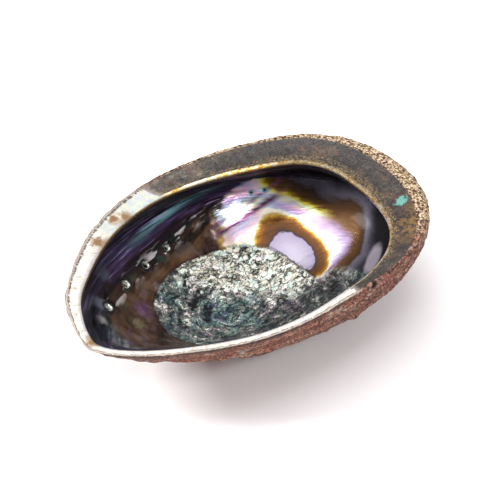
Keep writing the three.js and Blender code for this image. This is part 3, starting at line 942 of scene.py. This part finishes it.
base = tint(mix, outer_line * 0.8, base, (70, 52, 38))
pearly = mix.ease(pale_at + (mottle - 0.5) * 0.4, 0.12, 0.45)
base = tint(mix, pearly * 0.7, base, (150, 140, 134))
TEAL_SPOT = (58.2, -29.6)
spot = mix.plan_gap(x, y, TEAL_SPOT, 0.7)
base = tint(mix, mix.fade(spot + (mottle - 0.5) * 5, 1.7, 2.5), base, (90, 146, 136))
bumps = grain * 0.25 + mottle * 0.6 - pits * 0.5 + specks * 0.3
rough = 0.34 + mottle * 0.25
connect(mix, shader, bumps, 0.5, Base_Color=base, Roughness=rough, Metallic=edge * 0.4)


# ---------------------------------------------------------------------------------------------
# The cut lip. The thin outer lip shows the white limy body of the shell: cream and chalky, with
# a broken dark line on its outside, and pearl and yellow-brown stains where it meets the shelf.
STAINS = [((-25.0, 47.0), 3.4), ((-20.5, 45.2), 3.2), ((-38.2, 41.0), 3.6), ((-75.0, 2.0), 4.0)]
PEARLY = [((-15.0, 49.0), 9.0), ((-30.5, 45.0), 5.5), ((-6.0, 47.0), 7.0)]
chalk, mix, shader = new_finish("lip_chalk", Coat_Weight=0.15, Coat_Roughness=0.2)
at_mm = millimetres(mix)
x, y, _ = mix.parts(at_mm)
run_at = mix.attribute("run")
grit = mix.put("ShaderNodeGroup", {"Size": 0.7}, node_tree=grit_group)
grain, _, mottle = (mix.get(grit, k) for k in range(3))
around_at = mix.attribute("around", vector=True)
fibres = mix.noise(mix.stretch(around_at, 60, 60, 2), 1.0, 3, 0.6)
base = bands(mix, mottle * 0.7 + fibres * 0.3, 1.0, (0.36, (158, 146, 136)), (0.47, (202, 192, 182)),
             (0.6, (230, 224, 214)))
# Painted shade: the lip turns grey towards its inner edge.
inner_edge_shade = mix.ease(run_at + (mottle - 0.5) * 0.5, 0.62, 0.95)
base = tint(mix, inner_edge_shade * 0.75, base, (118, 120, 126))
for heart, reach in PEARLY:
    mask = mix.fade(mix.plan_gap(x, y, heart) + (mottle - 0.5) * 5, reach * 0.5, reach)
    sheen = mix.put("ShaderNodeGroup", {"Phase": fibres * 1.2 + mottle * 1.6 - 0.35, "Strength": 0.45},
                    node_tree=pearl_group)
    base = tint(mix, mask * 0.8, base, tint(mix, 1.0, (200, 194, 190), mix.get(sheen), "MULTIPLY"))
for heart, reach in STAINS:
    mask = mix.fade(mix.plan_gap(x, y, heart) + (mottle - 0.5) * 5, reach * 0.2, reach * 1.3)
    base = tint(mix, mask * 0.95, base, (112, 78, 26))
dark_line = mix.fade(run_at + (mottle - 0.5) * 0.2, 0.1, 0.2) * mix.ease(fibres, 0.4, 0.5)
base = tint(mix, dark_line * 0.9, base, (40, 28, 22))
bumps = mottle * 0.6 + fibres * 0.3 - dark_line * 0.6 + grain * 0.1
rough = 0.42 + mottle * 0.25
connect(mix, shader, bumps, 0.5, Base_Color=base, Roughness=rough)


# ---------------------------------------------------------------------------------------------
# The crust. The back of the shell is limy and rough: brick red and brown in bands that follow the
# growing edge, granular, pitted and patched with pale growth, and tan over the shoulder.
crust_skin, mix, shader = new_finish("red_crust")
at_mm = millimetres(mix)
run_at, age_at, knob_at = mix.attribute("run"), mix.attribute("age"), mix.attribute("knob")
on_edge = mix.ease(mix.attribute("zone"), 0.0, 0.2)
run_at = mix.calc("MAXIMUM", run_at, on_edge * 1.1)
gap_at, pit_at = mix.attribute("pore_gap"), mix.attribute("pit_gap")
lip_at = mix.attribute("lip_share")
grit = mix.put("ShaderNodeGroup", {"Size": 1.0}, node_tree=grit_group)
grain, pits, mottle = (mix.get(grit, k) for k in range(3))
lines = mix.put("ShaderNodeGroup", {"Reach": 1.4, "Fineness": 30.0}, node_tree=streak_group)
broad, fine = mix.get(lines, 0), mix.get(lines, 1)
base = bands(mix, broad * 0.45 + mottle * 0.3 + fine * 0.25, 1.0, (0.37, (74, 38, 28)),
             (0.44, (138, 80, 60)), (0.5, (176, 114, 90)), (0.56, (204, 150, 124)),
             (0.62, (236, 206, 184)))
brick = mix.ease(mix.noise(at_mm, 0.09, 3, 0.6), 0.45, 0.6)
base = tint(mix, brick * 0.45, base, (186, 96, 66))
grains = bands(mix, grain, 1.0, (0.3, (60, 48, 44)), (0.5, (176, 168, 164)), (0.7, (255, 250, 244)))
base = tint(mix, 0.85, base, tint(mix, 1.0, base, grains, "MULTIPLY"))
pale = mix.ease(mix.noise(at_mm, 0.13, 4, 0.7), 0.58, 0.68)
base = tint(mix, pale * 0.6, base, (206, 184, 168))
shoulder = mix.ease(run_at, 0.9, 1.0) * mix.ease(lip_at, 0.45, 0.75)
shoulder_tone = bands(mix, mottle * 0.5 + grain * 0.5, 1.0, (0.34, (50, 36, 26)), (0.46, (168, 136, 98)),
                      (0.58, (236, 216, 180)))
base = tint(mix, shoulder * 0.85, base, shoulder_tone)
worn = mix.ease(knob_at + mix.ease(0.0 - age_at, 2.3, 3.2), 0.35, 0.9) * mix.ease(mottle, 0.35, 0.6)
base = tint(mix, worn * 0.75, base, (222, 206, 200))
base = tint(mix, pits * 0.9, base, (44, 24, 18))
pale_rim = mix.attribute("pale_lip")
rim_run = run_at + (mottle - 0.5) * 0.06
base = tint(mix, mix.ease(rim_run, 1.0, 1.03) * pale_rim * 0.9, base, (222, 208, 192))
base = tint(mix, mix.bump(rim_run, 0.99, 0.03) * pale_rim * 0.9, base, (46, 30, 24))
collar = mix.bump(gap_at, 1.3, 0.6)
base = tint(mix, collar * 0.6, base, (210, 186, 166))
# The bored pit: a pale ring round it, and its hole painted near black as shade.
pit_shade = mix.fade(pit_at, 1.2, 1.7)
pit_ring = mix.bump(pit_at, 2.1, 0.7)
base = tint(mix, pit_ring * 0.35, base, (206, 186, 166))
base = tint(mix, pit_shade, base, (14, 10, 8))
bumps = grain * 0.7 + mottle * 1.2 - pits * 1.0 + fine * 0.5
rough = 0.62 + mottle * 0.25
connect(mix, shader, bumps, 1.6, Base_Color=base, Roughness=rough)


# ---------------------------------------------------------------------------------------------
# The finished shell. The relief is pressed into the mesh and each part of its skin is given its
# finish: crust on the back, chalk on the cut lip, horn on the inner lip and nacre in the bowl.
modifier = shell.modifiers.new("relief", "NODES")
modifier.node_group = relief
finishes = {"Crust": crust_skin, "Chalk": chalk, "Inner lip": inner_lip, "Nacre": nacre}
chosen_values = {**HEIGHTS, "Seed": SEED, **finishes}
for socket in relief.interface.items_tree:
    if socket.in_out == "INPUT" and socket.name in chosen_values:
        modifier[socket.identifier] = chosen_values[socket.name]
ready = shell.evaluated_get(bpy.context.evaluated_depsgraph_get())
finished_mesh = bpy.data.meshes.new_from_object(ready)
shell.modifiers.remove(modifier)
shell.data = finished_mesh
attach(shell, "root")
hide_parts("abalone_shell")


# ---------------------------------------------------------------------------------------------
# The table, the lights and the camera. The shell stands on a white paper table in a pale tent,
# under one wide softbox, with the key light from behind on the left and a small one in front.
floor_mesh = bpy.data.meshes.new("table")
floor_mesh.from_pydata([(-3, -3, 0), (3, -3, 0), (3, 3, 0), (-3, 3, 0)], [], [(0, 1, 2, 3)])
floor = bpy.data.objects.new("table", floor_mesh)
bpy.context.scene.collection.objects.link(floor)
paper = bpy.data.materials.new("white_paper")
paper.use_nodes = True
paper.node_tree.nodes["Principled BSDF"].inputs["Base Color"].default_value = (0.96, 0.95, 0.955, 1)
paper.node_tree.nodes["Principled BSDF"].inputs["Roughness"].default_value = 0.9
floor_mesh.materials.append(paper)


def softbox(name, place, target, size, power):
    """A rectangular lamp at a place, turned to its target."""
    lamp = bpy.data.lights.new(name, "AREA")
    lamp.shape = "RECTANGLE"
    lamp.size, lamp.size_y = size
    lamp.energy = power
    box = bpy.data.objects.new(name, lamp)
    box.location = place
    box.rotation_euler = (Vector(target) - Vector(place)).to_track_quat("-Z", "Y").to_euler()
    bpy.context.scene.collection.objects.link(box)


softbox("overhead", (0.0, 0.05, 0.6), (0, 0, 0), (0.55, 0.55), 3.2)
softbox("key", (-0.45, 0.45, 0.55), (0, 0, 0.02), (0.28, 0.28), 7.5)
softbox("front", (0.12, -0.5, 0.42), (0, 0, 0.02), (0.22, 0.16), 1.6)
world = bpy.data.worlds.new("tent")
world.use_nodes = True
world.node_tree.nodes["Background"].inputs["Color"].default_value = (1.0, 0.94, 0.975, 1)
world.node_tree.nodes["Background"].inputs["Strength"].default_value = 0.42
bpy.context.scene.world = world

AZIMUTH, ELEVATION, DISTANCE = math.radians(-46), math.radians(40), 0.561
LOOK_AT = Vector((0.0155, 0.0120, 0.020))
to_camera = Vector((math.sin(AZIMUTH) * math.cos(ELEVATION), -math.cos(AZIMUTH) * math.cos(ELEVATION),
                    math.sin(ELEVATION)))
lens = bpy.data.cameras.new("camera")
lens.lens = 100
lens.sensor_width = 36
camera = bpy.data.objects.new("camera", lens)
camera.location = LOOK_AT + to_camera * DISTANCE
camera.rotation_euler = (-to_camera).to_track_quat("-Z", "Y").to_euler()
bpy.context.scene.collection.objects.link(camera)
bpy.context.scene.camera = camera
bpy.context.scene.view_settings.view_transform = "Standard"
